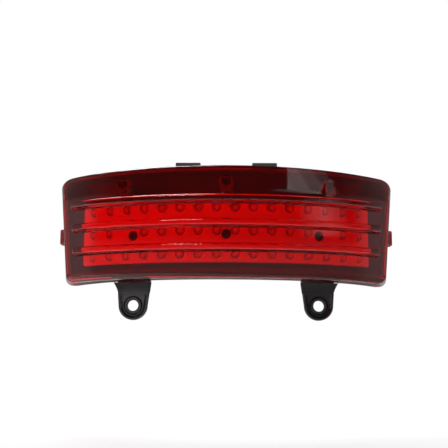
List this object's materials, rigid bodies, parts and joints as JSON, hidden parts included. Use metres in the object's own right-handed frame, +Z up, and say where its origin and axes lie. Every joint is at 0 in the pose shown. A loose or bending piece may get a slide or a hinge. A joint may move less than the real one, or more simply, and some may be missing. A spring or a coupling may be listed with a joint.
{
  "type": "motorcycle tail light",
  "caption": "Curved wraparound rear light: ribbed red lens over rows of LEDs on a bent panel, in a black saddle-backed housing with two lower mounting ears.",
  "frame": {"origin": "midway between the two ear holes, on the ears' flat rear mounting face", "axes": "+X to the light's right as seen by a viewer behind the vehicle, the lens looks towards -Y, the vehicle's fender is on the +Y side, +Z up"},
  "size_m": [0.2596, 0.0993, 0.1165],
  "materials": {
    "red_lens": "clear tinted, polished",
    "black_seal": "matte",
    "housing_plastic": "semi-gloss moulded",
    "seal_foam": "matte foam",
    "panel_plastic": "satin moulded",
    "led_resin": "clear tinted",
    "board_laminate": "solder-masked laminate",
    "flex_film": "smooth film",
    "chip_black": "matte",
    "can_aluminium": "satin",
    "terminal_plastic": "matte",
    "wire_black": "satin",
    "wire_blue": "satin",
    "wire_red": "satin",
    "membrane": "matte",
    "black_screw": "black oxide",
    "ear_black": "gloss",
    "bushing_black": "satin",
    "plated_screw": "zinc plated",
    "pad_rubber": "matte"
  },
  "bodies": {
    "root": {"lens": "red_lens", "lens_gasket": "black_seal", "cable_grommet": "black_seal", "rear_housing": "housing_plastic", "vent_cap": "housing_plastic", "fender_seal": "seal_foam", "reflector": "panel_plastic", "led_row_top": "led_resin", "led_row_middle": "led_resin", "led_row_bottom": "led_resin", "led_board_centre": "board_laminate", "led_board_left": "board_laminate", "led_board_right": "board_laminate", "board_jumper_left": "flex_film", "board_jumper_right": "flex_film", "resistors": "chip_black", "diodes": "chip_black", "regulator": "chip_black", "capacitor": "can_aluminium", "wire_terminal": "terminal_plastic", "lead_wire_ground": "wire_black", "lead_wire_running": "wire_blue", "lead_wire_brake": "wire_red", "vent_membrane": "membrane", "panel_screws": "black_screw", "lens_screws": "black_screw", "mounting_ear_left": "ear_black", "mounting_ear_right": "ear_black", "ear_bushing_left": "bushing_black", "ear_bushing_right": "bushing_black", "ear_screws": "plated_screw", "top_pad_left": "pad_rubber", "top_pad_right": "pad_rubber"}
  },
  "joints": []
}
